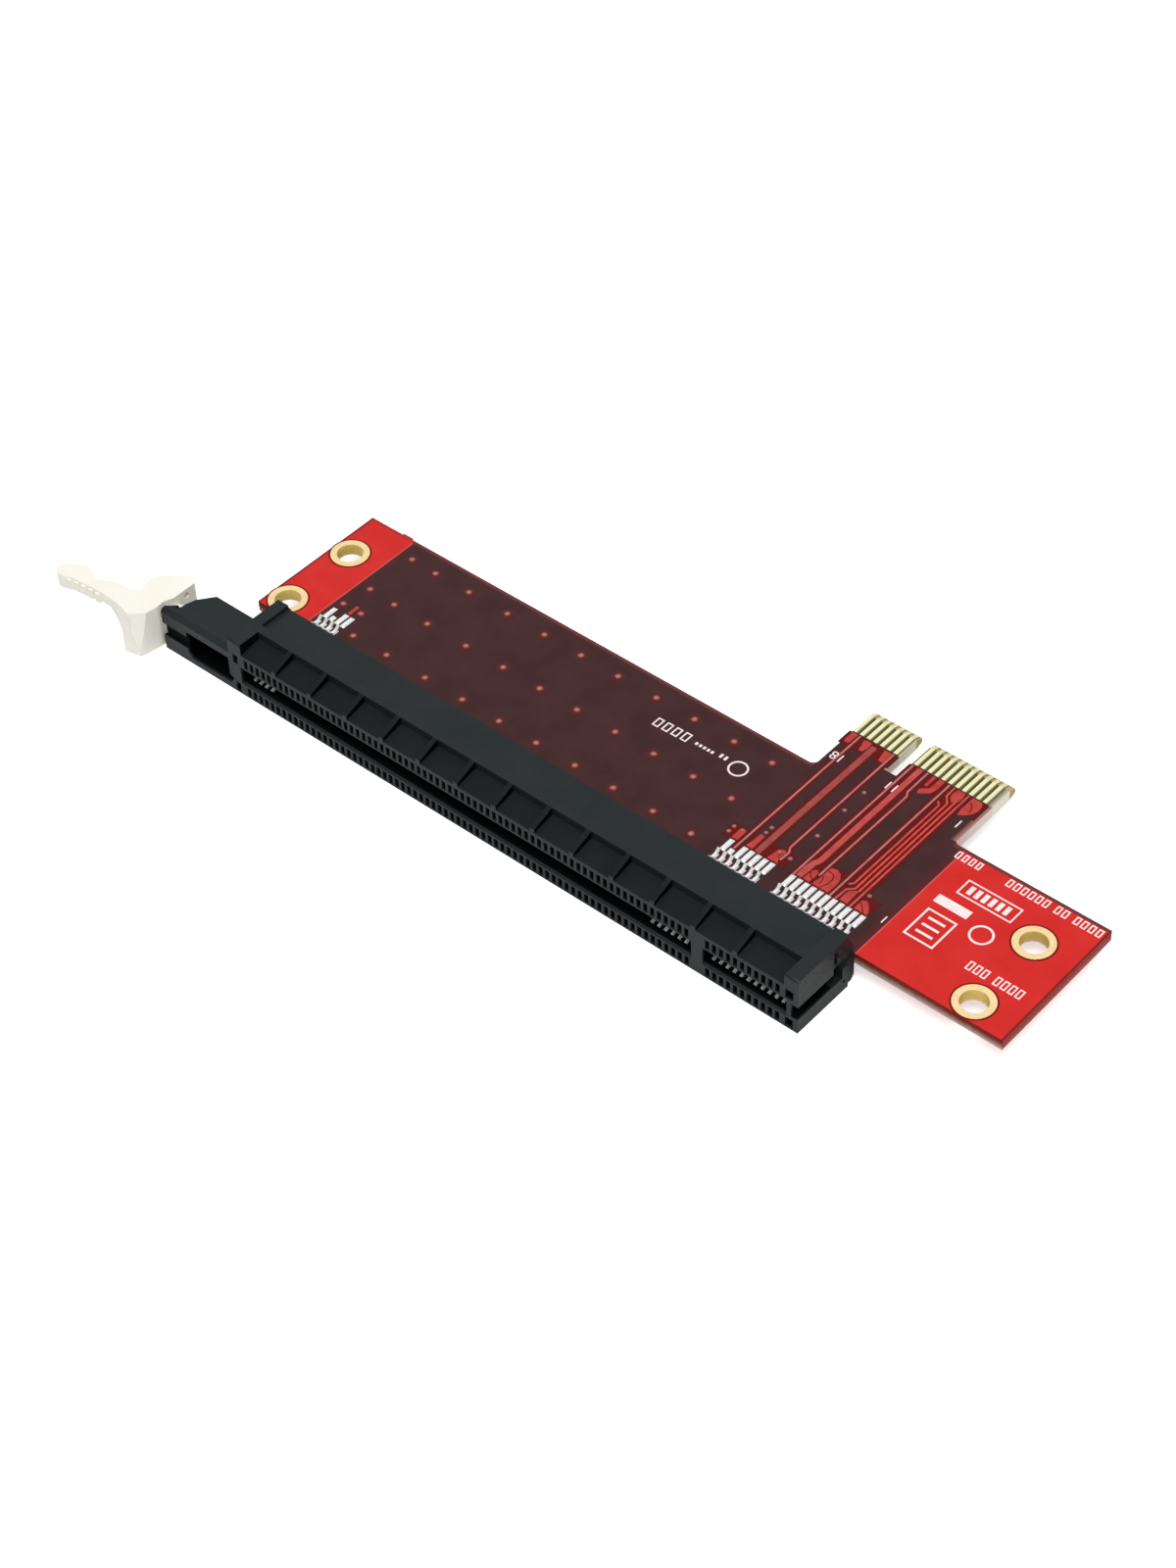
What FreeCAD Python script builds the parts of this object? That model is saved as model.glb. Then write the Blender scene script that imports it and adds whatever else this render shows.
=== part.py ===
import FreeCAD, Part
import math
import os

os.makedirs("parts", exist_ok=True)

# Contact raster shared by the card edge, the solder pads and the connector.
pitch = 1.0
key_gap = 3.0
pins_before_key = 11
tab_pins = 18
last_pin = 82
far_pins = 4

# Circuit board: a plain rectangle with a card edge tab on its back side.
board_thick = 1.6
board_left = -80.2
board_right = 34.3
board_depth = 20.9
tab_reach = 12.0
tab_margin_left = 0.4
tab_margin_right = 1.1
tab_root_left_r = 0.8
tab_root_right_r = 0.5
bevel_length = 1.2
bevel_depth = 0.47
key_width = 1.9
key_depth = 7.5
nub_left = -74.8
nub_width = 1.6
nub_height = 0.2

# Four plated screw holes.
hole_bore_r = 1.7
hole_ring_r = 2.54
hole_left_inset = 2.7
hole_right_inset = 5.7
hole_front_inset = 2.6
hole_row_gap = 11.3
plating = 0.05

# Gold fingers on the tab, one row per side.
finger_width = 0.7
finger_length = 4.6
finger_thick = 0.04
finger_tip_gap = 0.15

# Solder pads behind the connector: a landing under each contact and a bar behind it.
pad_width = 0.7
pad_start = 3.0
pad_length = 2.12
pad_thick = 0.05
short_pins = [17, 81]
short_pad_length = 0.9
landing_width = 0.6
landing_start = 1.3
landing_length = 0.95

# Connector housing, measured from the board front edge and the board mid plane.
mouth_reach = 10.55
rear_gap = 1.46
end_left_margin = 3.0
end_right_margin = 2.9
housing_top = 5.17
housing_bottom = -3.24
front_round_r = 0.35
end_rib_width = 1.7
end_rib_width_right = 2.0
panel_drop = 0.57
panel_depth = 4.7
pocket_start_margin = 2.3
pocket_pins = 6
pocket_count = 14
rib_width = 0.7
pocket_depth = 3.25
pocket_floor_rear = 4.1
pocket_floor_front = 3.5
rib_top_front = 4.0
foot_top_rear = 4.9
foot_top_front = 2.0
foot_bottom_front = -2.6
foot_bottom_inset = 0.5
foot_side_inset = 0.3

# Card slot with its key wall.
slot_half_height = 1.0
slot_left_margin = 1.1
slot_right_margin = 1.3
slot_depth = 7.95
slot_key_width = 1.65
slot_lead_in = 0.35
slot_lead_depth = 0.45

# Contact cavities above and below the slot.
cavity_width = 0.6
cavity_low = 1.6
cavity_high = 3.0
cavity_bar = 0.75
cavity_well_end = 5.35
spare_cavity_depth = 1.6
end_pocket_width = 1.1
end_pocket_gap = 1.1
end_pocket_depth = 2.0
end_pocket_left_width = 0.8
end_pocket_left_gap = 1.45
end_groove_depth = 1.0
end_groove_length = 8.0
end_recess_depth = 0.5
end_recess_start = 4.2
end_recess_low = 0.5
end_recess_lip = 0.27
end_boss_start = 3.6
end_boss_end = 3.0
end_boss_low = 2.1
end_boss_high = 3.1
end_dot_r = 0.25
end_dot_depth = 0.4
end_dot_y = 2.2
end_dot_z = -1.8

# Sprung contacts, the same strip above and mirrored below.
contact_width = 0.42
contact_thick = 0.2
foot_start = 1.45
foot_end = 2.0
foot_rise_run = 1.0
foot_tip_run = 0.65
foot_tip_rise = 0.55
beam_start = 5.5
beam_low_y = 8.4
beam_low_z = 0.72
beam_tip_y = 9.5
beam_tip_z = 1.03

# Lock block on the left end of the housing.
lock_length = 12.0
lock_top = 3.6
lock_rear = 4.75
lock_front_bevel_drop = 0.8
lock_front_bevel_run = 0.5
lock_flat = 7.8
lock_corner_x = 9.4
lock_corner_y = 6.8
lock_notch_x = 9.9
lock_notch_y = 8.5
lock_toe_y = 10.3
lock_inner_high = 2.0
lock_front_wall = 0.65
lock_groove_half = 1.0
lock_groove_depth = 0.4
window_high = 1.8
window_low = 2.3
window_left = 0.2
window_right = 7.7
window_cut = 0.7
window_depth = 4.6

# Pivot of the latch, measured from the housing left end and the board front edge.
pivot_x = 10.1
pivot_y = 8.4
trunnion_r = 1.0
trunnion_clearance = 0.05
trunnion_depth = 0.8
trunnion_end_gap = 0.1
tongue_r = 1.3
tongue_gap = 0.2
tongue_swing_gap = 0.4
tongue_half_width_front = 1.15
tongue_half_width_rear = 1.0
snap_groove_width = 0.5
snap_groove_depth = 0.3

# Latch lever, plan points measured from the pivot.
latch_half_height = 3.2
lobe_face_x = -2.1
lobe_face_low = 0.4
latch_arcs = [[(-2.1, 3.8), (-2.75, 4.45), (-3.8, 4.2)],
              [(-3.8, 4.2), (-5.3, 3.35), (-6.5, 2.3)],
              [(-6.5, 2.3), (-7.1, 0.7), (-6.6, -0.9)],
              [(-6.6, -0.9), (-7.2, -1.6), (-8.3, -1.85)],
              [(-8.3, -1.85), (-10.0, -2.1), (-11.4, -2.7)],
              [(-11.4, -2.7), (-12.7, -3.05), (-13.6, -2.6)],
              [(-13.6, -2.6), (-14.9, -2.15), (-16.4, -2.9)],
              [(-16.4, -2.9), (-17.6, -3.7), (-18.2, -4.5)],
              [(-18.2, -4.5), (-17.6, -5.3), (-16.5, -5.55)],
              [(-16.5, -5.55), (-15.6, -5.25), (-14.7, -5.0)],
              [(-14.7, -5.0), (-11.5, -4.7), (-8.4, -4.68)],
              [(-8.4, -4.68), (-6.9, -4.95), (-5.5, -5.92)]]
nose_corner = (-3.12, -5.42)
nose_side = (-2.85, -4.6)
nose_heel = (-2.5, -2.2)
lobe_heel = (-2.6, -1.0)
# Planes of the nose: two upper points and a lower one, heights as shares of the latch half height.
nose_facets = [[(-7.4, -4.7, 1.0), (-4.2, -5.4, 1.0), (-5.5, -5.92, -1.0)],
               [(-5.9, -5.66, 1.0), (-4.2, -5.32, 1.0), (-5.5, -5.92, -1.0)],
               [(-4.3, -5.35, 1.0), (-2.65, -3.71, 1.0), (-3.12, -5.42, -0.75)]]
facet_room = 9.0
lever_tip_z = 1.05
lever_neck_z = 1.6
lever_neck_start = 10.5
lever_neck_run = 1.6
lever_neck_end = 8.5
lever_flare_start = 7.8
lever_flare_z = 0.8
lever_flare_end = 6.2
lever_flare_low = -0.6
lever_foot_end = 6.0
lever_room = 22.0
ridge_count = 5
ridge_pitch = 1.2
ridge_width = 0.65
ridge_proud = 0.25
ridge_root = 0.5
ridge_first = 10.35
ridge_face = [(-16.5, -5.55), (-14.7, -5.0), (-11.5, -4.7), (-8.4, -4.68)]
ridge_low = 1.35
ridge_top_gap = 0.4
lobe_dimple_r = 0.45
lobe_dimple_depth = 0.5
lobe_dimple_rise = 2.2
lobe_dimple_along = 2.5

# Derived positions.
half_board = board_thick / 2
board_back = -tab_reach
board_front = board_back - board_depth


def pin_x(number):
    """X of a contact, counted from the right end of the connector."""
    if number <= pins_before_key:
        return key_gap / 2 + (pins_before_key - number) * pitch
    return -key_gap / 2 - (number - pins_before_key - 1) * pitch


loaded_pins = list(range(1, tab_pins + 1))
loaded_pins += list(range(last_pin - far_pins + 1, last_pin + 1))
tab_left = pin_x(tab_pins) - tab_margin_left
tab_right = pin_x(1) + tab_margin_right
housing_left = pin_x(last_pin) - end_left_margin
housing_right = pin_x(1) + end_right_margin
mouth = board_front - mouth_reach
rear = board_front - rear_gap
slot_left = pin_x(last_pin) - slot_left_margin
slot_right = pin_x(1) + slot_right_margin
pivot_at_x = housing_left - pivot_x
pivot_at_y = board_front - pivot_y
up = FreeCAD.Vector(0, 0, 1)


def box(x0, x1, y0, y1, z0, z1):
    """Block between two opposite corners."""
    return Part.makeBox(x1 - x0, y1 - y0, z1 - z0, FreeCAD.Vector(x0, y0, z0))


def plan_prism(points, z0, z1):
    """Prism standing on an outline in the XY plane."""
    ring = [FreeCAD.Vector(x, y, z0) for x, y in points]
    face = Part.Face(Part.makePolygon(ring + ring[:1]))
    return face.extrude(FreeCAD.Vector(0, 0, z1 - z0))


def side_prism(points, x0, x1):
    """Prism lying along X with an outline in the YZ plane."""
    ring = [FreeCAD.Vector(x0, y, z) for y, z in points]
    face = Part.Face(Part.makePolygon(ring + ring[:1]))
    return face.extrude(FreeCAD.Vector(x1 - x0, 0, 0))


def front_prism(points, y0, y1):
    """Prism lying along Y with an outline in the XZ plane."""
    ring = [FreeCAD.Vector(x, y0, z) for x, z in points]
    face = Part.Face(Part.makePolygon(ring + ring[:1]))
    return face.extrude(FreeCAD.Vector(0, y1 - y0, 0))


def fuse_all(solids):
    """One solid from several overlapping ones."""
    whole = solids[0]
    if len(solids) > 1:
        whole = whole.multiFuse(solids[1:])
    return whole.removeSplitter()


def upright_edges(shape, x, y):
    """Vertical edges of a shape at a plan position."""
    near = pitch / 100
    found = []
    for edge in shape.Edges:
        ends = [vertex.Point for vertex in edge.Vertexes]
        level = all(abs(p.x - x) < near and abs(p.y - y) < near for p in ends)
        if level and len(ends) > 1:
            found.append(edge)
    return found


def mirrored_below(shape):
    """The same piece reflected in the board mid plane."""
    return shape.mirror(FreeCAD.Vector(0, 0, 0), up)


def hole_centres():
    """Plan positions of the four screw holes."""
    xs = [board_left + hole_left_inset, board_right - hole_right_inset]
    ys = [board_front + hole_front_inset, board_front + hole_front_inset + hole_row_gap]
    return [(x, y) for x in xs for y in ys]


def make_board():
    """Board with tab, key notch, tab bevels, screw holes and a break-off nub."""
    plate = box(board_left, board_right, board_front, board_back, -half_board, half_board)
    tab = box(tab_left, tab_right, board_back - tab_root_left_r, 0, -half_board, half_board)
    nub = box(nub_left, nub_left + nub_width, board_back - nub_height, board_back + nub_height,
              -half_board, half_board)
    body = fuse_all([plate, tab, nub])
    body = body.makeFillet(tab_root_left_r, upright_edges(body, tab_left, board_back))
    body = body.makeFillet(tab_root_right_r, upright_edges(body, tab_right, board_back))
    cutters = [box(-key_width / 2, key_width / 2, -key_depth, tab_reach, -board_thick, board_thick)]
    over = bevel_depth
    wedge = side_prism([(-bevel_length, half_board), (0, half_board - bevel_depth),
                        (over, half_board - bevel_depth), (over, half_board + over),
                        (-bevel_length, half_board + over)],
                       tab_left - over, tab_right + over)
    cutters += [wedge, mirrored_below(wedge)]
    drill_r = hole_bore_r + plating
    for x, y in hole_centres():
        cutters.append(Part.makeCylinder(drill_r, 2 * board_thick, FreeCAD.Vector(x, y, -board_thick)))
    return body.cut(Part.makeCompound(cutters)).removeSplitter()


def make_ring(x, y):
    """Plated barrel of one screw hole with a flat ring on each side of the board."""
    profile = [(hole_bore_r, half_board + plating), (hole_ring_r, half_board + plating),
               (hole_ring_r, half_board), (hole_bore_r + plating, half_board),
               (hole_bore_r + plating, -half_board), (hole_ring_r, -half_board),
               (hole_ring_r, -half_board - plating), (hole_bore_r, -half_board - plating)]
    ring = [FreeCAD.Vector(x + r, y, z) for r, z in profile]
    face = Part.Face(Part.makePolygon(ring + ring[:1]))
    return face.revolve(FreeCAD.Vector(x, y, 0), up, 360)


def make_fingers():
    """Upper row of edge fingers, each running over the bevel of the tab."""
    top = half_board + finger_thick
    slope = bevel_depth / bevel_length
    tip_z = half_board - slope * (bevel_length - finger_tip_gap)
    outline = [(-finger_length, half_board), (-bevel_length, half_board), (-finger_tip_gap, tip_z),
               (-finger_tip_gap, tip_z + finger_thick), (-bevel_length, top), (-finger_length, top)]
    half = finger_width / 2
    fingers = [side_prism(outline, pin_x(n) - half, pin_x(n) + half) for n in range(1, tab_pins + 1)]
    return Part.makeCompound(fingers)


def make_pads(short_numbers):
    """Upper row of solder pads, the bars of some of them cut short."""
    pads = []
    for n in loaded_pins:
        length = short_pad_length if n in short_numbers else pad_length
        for width, start, reach in [(landing_width, landing_start, landing_length),
                                    (pad_width, pad_start, length)]:
            x = pin_x(n) - width / 2
            y = board_front + start
            pads.append(box(x, x + width, y, y + reach, half_board, half_board + pad_thick))
    return Part.makeCompound(pads)


def contact_path():
    """Centre line of an upper contact from its flared tail over the soldered foot to its sprung tip."""
    foot_z = half_board + pad_thick + contact_thick / 2
    stem_z = cavity_low + contact_thick / 2
    return [(board_front + foot_end + foot_tip_run, foot_z + foot_tip_rise),
            (board_front + foot_end, foot_z), (board_front + foot_start, foot_z),
            (board_front + foot_start - foot_rise_run, stem_z), (board_front - beam_start, stem_z),
            (board_front - beam_low_y, beam_low_z), (board_front - beam_tip_y, beam_tip_z)]


def offset_side(path, distance):
    """Path moved sideways by a distance, with mitred corners."""
    lines = []
    for (y0, z0), (y1, z1) in zip(path[:-1], path[1:]):
        run = math.hypot(y1 - y0, z1 - z0)
        lines.append(((y1 - y0) / run, (z1 - z0) / run))
    moved = []
    for index, (y, z) in enumerate(path):
        first = lines[max(index - 1, 0)]
        second = lines[min(index, len(lines) - 1)]
        ny = -(first[1] + second[1])
        nz = first[0] + second[0]
        scale = distance * 2 / (ny * ny + nz * nz)
        moved.append((y + ny * scale, z + nz * scale))
    return moved


def make_contact(number):
    """One upper contact, a flat strip bent along its path."""
    path = contact_path()
    half = contact_thick / 2
    outline = offset_side(path, half) + offset_side(path, -half)[::-1]
    x = pin_x(number)
    return side_prism(outline, x - contact_width / 2, x + contact_width / 2)


def housing_body():
    """Long bar of the connector with rounded top front edge and feet at both ends."""
    arc_y = mouth + front_round_r
    arc_z = housing_top - front_round_r
    diagonal = front_round_r * math.sqrt(0.5)
    corner = [FreeCAD.Vector(housing_left, y, z) for y, z in
              [(rear, housing_bottom), (rear, housing_top), (arc_y, housing_top),
               (arc_y - diagonal, arc_z + diagonal), (mouth, arc_z), (mouth, housing_bottom)]]
    wire = Part.Wire([Part.makeLine(corner[0], corner[1]), Part.makeLine(corner[1], corner[2]),
                      Part.Arc(corner[2], corner[3], corner[4]).toShape(),
                      Part.makeLine(corner[4], corner[5]), Part.makeLine(corner[5], corner[0])])
    bar = Part.Face(wire).extrude(FreeCAD.Vector(housing_right - housing_left, 0, 0))
    foot = [(rear, foot_top_rear), (board_front, foot_top_front), (board_front, foot_bottom_front),
            (board_front - foot_bottom_inset, housing_bottom), (rear, housing_bottom),
            (rear - rear_gap, housing_bottom), (rear - rear_gap, foot_top_rear)]
    left = side_prism(foot, housing_left + foot_side_inset, housing_left + end_rib_width)
    right = side_prism(foot, housing_right - end_rib_width, housing_right - foot_side_inset)
    return [bar, left, right]


def lock_block():
    """Block on the left end with bevelled front edge and a slanted stop for the latch."""
    x_end = housing_left - lock_length
    outline = [(housing_left + rear_gap, board_front - lock_rear),
               (housing_left - lock_flat, board_front - lock_rear),
               (housing_left - lock_corner_x, board_front - lock_corner_y),
               (housing_left - lock_notch_x, board_front - lock_notch_y),
               (x_end, board_front - lock_toe_y),
               (x_end, mouth),
               (housing_left + rear_gap, mouth)]
    block = plan_prism(outline, housing_bottom, lock_top)
    over = lock_front_bevel_drop
    bevel = side_prism([(mouth + lock_front_bevel_run, lock_top), (mouth, lock_top - lock_front_bevel_drop),
                        (mouth - over, lock_top - lock_front_bevel_drop), (mouth - over, lock_top + over),
                        (mouth + lock_front_bevel_run, lock_top + over)],
                       x_end - over, housing_left)
    return block.cut(bevel)


def lock_cutters():
    """Room for the latch tongue, its trunnion holes, the card groove and the window."""
    room_right = pivot_at_x + tongue_r + tongue_swing_gap
    far = pivot_at_x - lock_length
    inner_y = mouth + lock_front_wall
    room = box(far, room_right, inner_y, board_front, -lock_inner_high, lock_inner_high)
    hole_r = trunnion_r + trunnion_clearance
    tongue_half = lock_inner_high - tongue_gap
    hole_half = tongue_half + trunnion_depth + trunnion_end_gap
    holes = Part.makeCylinder(hole_r, 2 * hole_half, FreeCAD.Vector(pivot_at_x, pivot_at_y, -hole_half))
    groove_end = housing_left - window_right
    groove = box(far, groove_end + window_cut, mouth - window_cut, mouth + lock_groove_depth,
                 -lock_groove_half, lock_groove_half)
    left = housing_left - window_right
    right = housing_left - window_left
    window = front_prism([(left, -window_low + window_cut), (left, window_high),
                          (right, window_high), (right, -window_low + 2 * window_cut),
                          (right + window_cut, -window_low + window_cut + window_cut / 2),
                          (right, -window_low), (left + window_cut, -window_low)],
                         mouth - window_cut, mouth + window_depth)
    snap = box(pivot_at_x - snap_groove_width / 2, pivot_at_x + snap_groove_width / 2,
               pivot_at_y - trunnion_r, pivot_at_y + trunnion_r,
               lock_top - snap_groove_depth, lock_top + snap_groove_depth)
    return [room, holes, groove, window, snap]


def slot_cutters():
    """Card slot on both sides of the key wall, with a lead-in at the mouth."""
    key_half = slot_key_width / 2
    floor = mouth + slot_depth
    outline = [(floor, -slot_half_height), (floor, slot_half_height),
               (mouth + slot_lead_depth, slot_half_height),
               (mouth, slot_half_height + slot_lead_in),
               (mouth - slot_lead_depth, slot_half_height + slot_lead_in),
               (mouth - slot_lead_depth, -slot_half_height - slot_lead_in),
               (mouth, -slot_half_height - slot_lead_in),
               (mouth + slot_lead_depth, -slot_half_height)]
    return [side_prism(outline, slot_left, -key_half), side_prism(outline, key_half, slot_right)]


def cavity_cutters():
    """Cavities at every contact place, those with contacts open to the rear and to the slot."""
    half = cavity_width / 2
    over = slot_lead_depth
    cutters = []
    for n in range(1, last_pin + 1):
        x = pin_x(n)
        if n in loaded_pins:
            shaft = box(x - half, x + half, mouth - over, rear + over, cavity_low, cavity_high)
            well = box(x - half, x + half, mouth + cavity_bar, board_front - cavity_well_end,
                       slot_half_height - slot_lead_in, cavity_low + slot_lead_in)
            cutters += [shaft, well, mirrored_below(shaft), mirrored_below(well)]
        else:
            blind = box(x - half, x + half, mouth - over, mouth + spare_cavity_depth, cavity_low, cavity_high)
            cutters += [blind, mirrored_below(blind)]
    starts = [(pin_x(1) + end_pocket_gap, end_pocket_width),
              (pin_x(last_pin) - end_pocket_left_gap - end_pocket_left_width, end_pocket_left_width)]
    for x, width in starts:
        pocket = box(x, x + width, mouth - over, mouth + end_pocket_depth, cavity_low, cavity_high)
        cutters += [pocket, mirrored_below(pocket)]
    cutters.append(box(housing_right - end_groove_depth, housing_right + over, mouth - over,
                       mouth + end_groove_length, -slot_half_height, slot_half_height))
    cutters += end_face_cutters()
    return cutters


def end_face_cutters():
    """Step behind the right end face with a small boss standing in it, and a blind dot below it."""
    over = end_recess_depth
    recess = box(housing_right - end_recess_depth, housing_right + over, board_front - end_recess_start,
                 board_front + over, end_recess_low, housing_top - end_recess_lip)
    boss = box(housing_right - 2 * end_recess_depth, housing_right + 2 * over, board_front - end_boss_start,
               board_front - end_boss_end, end_boss_low, end_boss_high)
    dot = Part.makeCylinder(end_dot_r, 2 * end_dot_depth,
                            FreeCAD.Vector(housing_right - end_dot_depth, board_front - end_dot_y, end_dot_z),
                            FreeCAD.Vector(1, 0, 0))
    return [recess.cut(boss), dot]


def top_cutters():
    """Sunk rear panel and the row of sloping pockets between sloping ribs along the top front edge."""
    over = panel_drop
    top_z = housing_top + over
    panel = box(housing_left + end_rib_width, housing_right - end_rib_width_right,
                rear - panel_depth, rear + over, housing_top - panel_drop, top_z)
    slope = (pocket_floor_rear - pocket_floor_front) / pocket_depth
    outline = [(mouth + pocket_depth, pocket_floor_rear), (mouth + pocket_depth, top_z),
               (mouth - over, top_z), (mouth - over, pocket_floor_front - slope * over)]
    rib_slope = (housing_top - rib_top_front) / pocket_depth
    ribs_left = housing_left + pocket_start_margin
    ribs_right = housing_right - end_rib_width_right
    rib_tops = side_prism([(mouth + pocket_depth, housing_top), (mouth + pocket_depth, top_z),
                           (mouth - over, top_z), (mouth - over, rib_top_front - rib_slope * over)],
                          ribs_left, ribs_right)
    starts = [ribs_left + index * pocket_pins * pitch for index in range(pocket_count)]
    ends = [start - rib_width for start in starts[1:]] + [ribs_right]
    cutters = [panel, rib_tops]
    for start, end in zip(starts, ends):
        cutters.append(side_prism(outline, start, end))
    return cutters


def make_housing():
    """Connector housing with lock block, slot, cavities and pockets."""
    body = fuse_all(housing_body() + [lock_block()])
    body = body.cut(top_cutters())
    for cutter in lock_cutters() + slot_cutters():
        body = body.cut(cutter)
    body = body.cut(cavity_cutters())
    return body.removeSplitter()


def at_pivot(place, z):
    """Point in space from a plan point measured from the pivot."""
    return FreeCAD.Vector(pivot_at_x + place[0], pivot_at_y + place[1], z)


def latch_outline(z):
    """Closed plan outline of the latch without its tongue."""
    edges = [Part.Arc(at_pivot(a, z), at_pivot(b, z), at_pivot(c, z)).toShape() for a, b, c in latch_arcs]
    heel = [latch_arcs[-1][-1], nose_corner, nose_side, nose_heel, lobe_heel,
            (lobe_face_x, lobe_face_low), latch_arcs[0][0]]
    for start, end in zip(heel[:-1], heel[1:]):
        edges.append(Part.makeLine(at_pivot(start, z), at_pivot(end, z)))
    return Part.Wire(Part.__sortEdges__(edges))


def lever_front_y(x):
    """Front face of the lever at a distance from the pivot."""
    for (x0, y0), (x1, y1) in zip(ridge_face[:-1], ridge_face[1:]):
        if x0 <= x <= x1:
            return y0 + (y1 - y0) * (x - x0) / (x1 - x0)
    return ridge_face[-1][1]


def facet_wedge(start, end, low):
    """Block outside the slanted plane through an upper edge and a lower point of the nose."""
    first, last, foot = [at_pivot(place[:2], place[2] * latch_half_height) for place in (start, end, low)]
    along = (last - first).normalize()
    fall = foot - first
    fall = (fall - along * fall.dot(along)).normalize()
    outward = fall.cross(along).normalize()
    if outward.y > 0:
        outward = outward * -1
    lift = fall * -1
    corners = [first + lift, last + lift, last + fall * facet_room, first + fall * facet_room]
    face = Part.Face(Part.makePolygon(corners + corners[:1]))
    return face.extrude(outward * facet_room)


def make_latch():
    """Latch with thumb lever, hooked nose, rear lobe, tongue and two trunnions."""
    block = Part.Face(latch_outline(-latch_half_height))
    block = block.extrude(FreeCAD.Vector(0, 0, 2 * latch_half_height))
    x = pivot_at_x
    low = -2 * latch_half_height
    under = front_prism([(x - lever_room, lever_tip_z), (x - lever_neck_start - lever_neck_run, lever_tip_z),
                         (x - lever_neck_start, lever_neck_z), (x - lever_neck_end, lever_neck_z),
                         (x - lever_flare_start, lever_flare_z), (x - lever_flare_end, lever_flare_low),
                         (x - lever_foot_end, low), (x - lever_room, low)],
                        pivot_at_y - lock_length, board_front)
    block = block.cut([under] + [facet_wedge(*facet) for facet in nose_facets])
    tongue_half = lock_inner_high - tongue_gap
    start = FreeCAD.Vector(x, pivot_at_y, -tongue_half)
    eye = Part.makeCylinder(tongue_r, 2 * tongue_half, start)
    arm = box(x + 2 * lobe_face_x, x, pivot_at_y - tongue_half_width_front,
              pivot_at_y + tongue_half_width_rear, -tongue_half, tongue_half)
    pin_half = tongue_half + trunnion_depth
    pin = Part.makeCylinder(trunnion_r, 2 * pin_half, FreeCAD.Vector(x, pivot_at_y, -pin_half))
    solids = [block, eye, arm, pin]
    for index in range(ridge_count):
        along = -ridge_first - index * ridge_pitch
        face_y = pivot_at_y + lever_front_y(along)
        solids.append(box(x + along - ridge_width, x + along, face_y - ridge_proud, face_y + ridge_root,
                          ridge_low, latch_half_height - ridge_top_gap))
    body = fuse_all(solids)
    dimple = Part.makeCylinder(lobe_dimple_r, 2 * lobe_dimple_depth,
                               FreeCAD.Vector(x + lobe_face_x - lobe_dimple_depth,
                                              pivot_at_y + lobe_dimple_along, lobe_dimple_rise),
                               FreeCAD.Vector(1, 0, 0))
    return body.cut(dimple).removeSplitter()


def save(name, shape):
    """Write one node."""
    shape.exportStep("parts/" + name + ".step")


save("circuit_board", make_board())
save("connector_housing", make_housing())
save("latch", make_latch())
save("screw_hole_rings", Part.makeCompound([make_ring(x, y) for x, y in hole_centres()]))
fingers_top = make_fingers()
save("edge_fingers_top", fingers_top)
save("edge_fingers_bottom", mirrored_below(fingers_top))
save("solder_pads_top", make_pads(short_pins))
save("solder_pads_bottom", mirrored_below(make_pads([])))
for number in loaded_pins:
    contact = make_contact(number)
    label = str(number).zfill(2)
    save("contact_top_" + label, contact)
    save("contact_bottom_" + label, mirrored_below(contact))
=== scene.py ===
import math

import bmesh
import bpy
from bpy.props import BoolProperty, FloatProperty, FloatVectorProperty, IntProperty, PointerProperty
from mathutils import Color, Euler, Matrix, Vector


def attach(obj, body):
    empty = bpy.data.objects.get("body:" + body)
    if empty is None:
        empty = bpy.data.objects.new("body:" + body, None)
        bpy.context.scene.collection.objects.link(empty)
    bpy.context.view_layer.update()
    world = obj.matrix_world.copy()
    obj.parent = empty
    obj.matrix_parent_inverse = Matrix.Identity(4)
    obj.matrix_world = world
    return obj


bl_info = {
    "name": "Slot adapter model",
    "version": (1, 0, 0),
    "blender": (4, 5, 0),
    "location": "View3D > Sidebar > Slot adapter",
    "description": "Builds the visual model of a card slot adapter board on its CAD frame",
    "category": "Object",
}

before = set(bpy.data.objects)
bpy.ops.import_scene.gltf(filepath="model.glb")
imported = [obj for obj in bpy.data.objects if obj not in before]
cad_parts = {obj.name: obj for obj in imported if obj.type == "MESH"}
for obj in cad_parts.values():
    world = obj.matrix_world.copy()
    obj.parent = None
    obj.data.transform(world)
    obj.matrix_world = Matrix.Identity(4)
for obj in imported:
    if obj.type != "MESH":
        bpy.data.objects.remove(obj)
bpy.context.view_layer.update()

MM = 0.001
CARRIER = "carrier"
RIM = "rim"
BLACK = (0.0, 0.0, 0.0)
WHITE = (1.0, 1.0, 1.0)

# Plan tables, in mm with Y counted from the board front edge.
BOARD_FRONT_Y = -32.9
BOARD_TOP_Z = 0.8

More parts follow.
